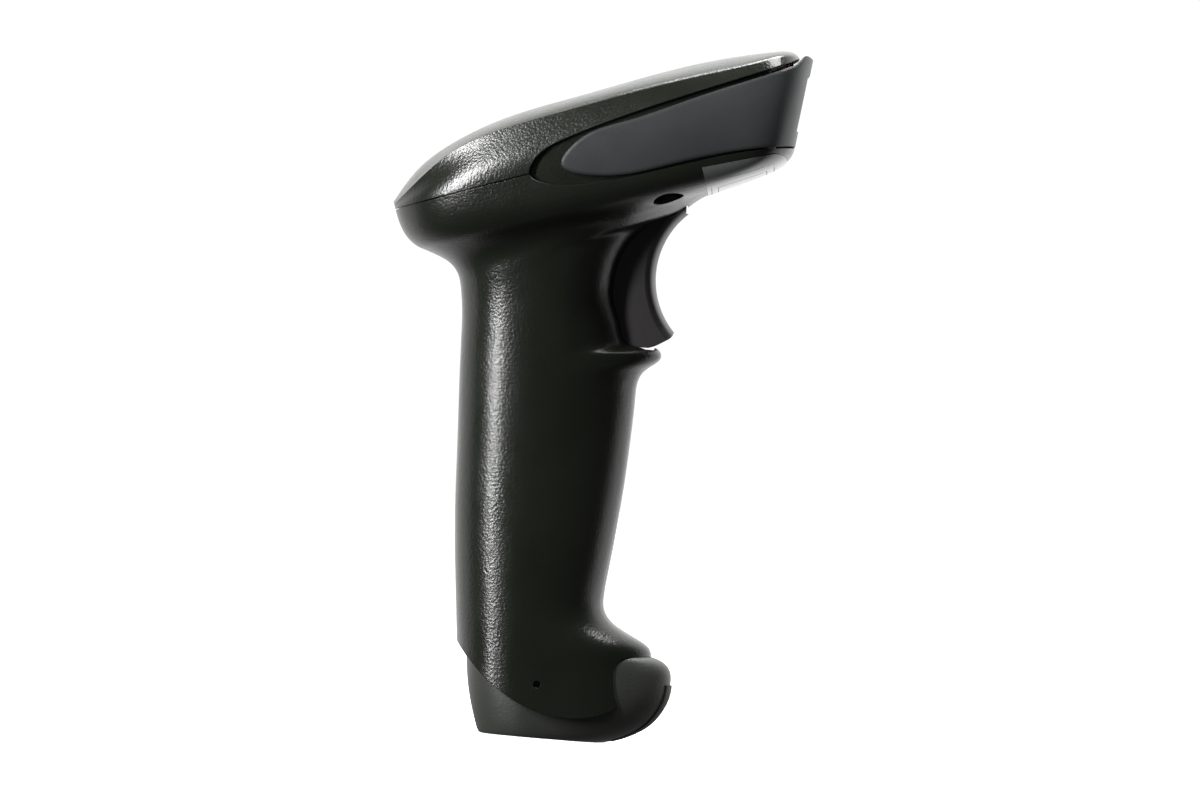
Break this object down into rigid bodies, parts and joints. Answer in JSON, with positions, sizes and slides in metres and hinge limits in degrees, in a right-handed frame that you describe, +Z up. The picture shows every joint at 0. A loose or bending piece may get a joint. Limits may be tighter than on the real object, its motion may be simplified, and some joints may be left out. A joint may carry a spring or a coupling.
{
  "type": "handheld barcode scanner",
  "caption": "Pistol-grip handheld barcode scanner with a long rounded head, rubber nose bumper, window, sprung trigger and a cable socket in the foot of its grip.",
  "frame": {"origin": "on the surface the grip's foot stands on, under the middle of the outer box", "axes": "+X towards the scanning window, +Z up the grip, +Y to the left of someone holding it"},
  "size_m": [0.1013, 0.0712, 0.1761],
  "materials": {
    "shell": "fine moulded grain, semi-matt",
    "cap": "fine moulded grain, matt",
    "bumper": "satin soft-touch elastomer",
    "toe": "matt elastomer strip",
    "label": "blank printed film",
    "light_pipe": "clear moulded, polished",
    "steel": "zinc-plated",
    "seal": "foam gasket",
    "window": "tinted, polished",
    "inner_black": "moulded",
    "barrel": "black anodised",
    "optic": "coated lens",
    "board": "solder mask over glass fibre",
    "chip": "moulded package",
    "lamp": "white lamp package",
    "socket": "moulded nylon",
    "ribbon": "polyimide film",
    "trigger": "fine moulded grain, satin",
    "plunger": "moulded",
    "contact": "gold-plated"
  },
  "bodies": {
    "housing": {"main_housing": "shell", "top_cover": "shell", "nose_bumper": "bumper", "base_cap": "cap", "toe_pad": "toe", "rating_label": "label", "indicator_lens": "light_pipe", "nose_screws": "steel", "window_seal": "seal", "scan_window": "window", "optics_chassis": "inner_black", "lens_barrel": "barrel", "imaging_lens": "optic", "sensor_board": "board", "image_sensor": "chip", "lamp_board": "board", "illumination_lamps": "lamp", "lamp_diffusers": "light_pipe", "chassis_screws": "steel", "main_board": "board", "main_board_chips": "chip", "beeper": "inner_black", "cable_connector": "socket", "indicator_lamp": "lamp", "board_screws": "steel", "sensor_cable": "ribbon", "trigger_pin": "steel", "trigger_switch": "socket", "trigger_spring": "steel", "handle_board": "board", "modular_jack": "socket", "jack_contacts": "contact", "handle_link": "ribbon"},
    "trigger": {"trigger": "trigger"},
    "plunger": {"switch_plunger": "plunger"}
  },
  "joints": [
    {"name": "trigger_hinge", "type": "hinge", "parent": "housing", "child": "trigger", "pos_m": [0.0175, 0, 0.1355], "axis": [0, 1, 0], "range_deg": [0, 5.5], "stiffness_Nm_per_rad": 0.12, "springref_deg": -6.88, "deforming": ["trigger_spring"]},
    {"name": "plunger_slide", "type": "slide", "parent": "housing", "child": "plunger", "axis": [-1, 0, 0], "range_m": [0, 0.00112]}
  ],
  "couplings": [
    {"joint": "plunger_slide", "follows": "trigger_hinge", "m_per_rad": 0.0115}
  ]
}
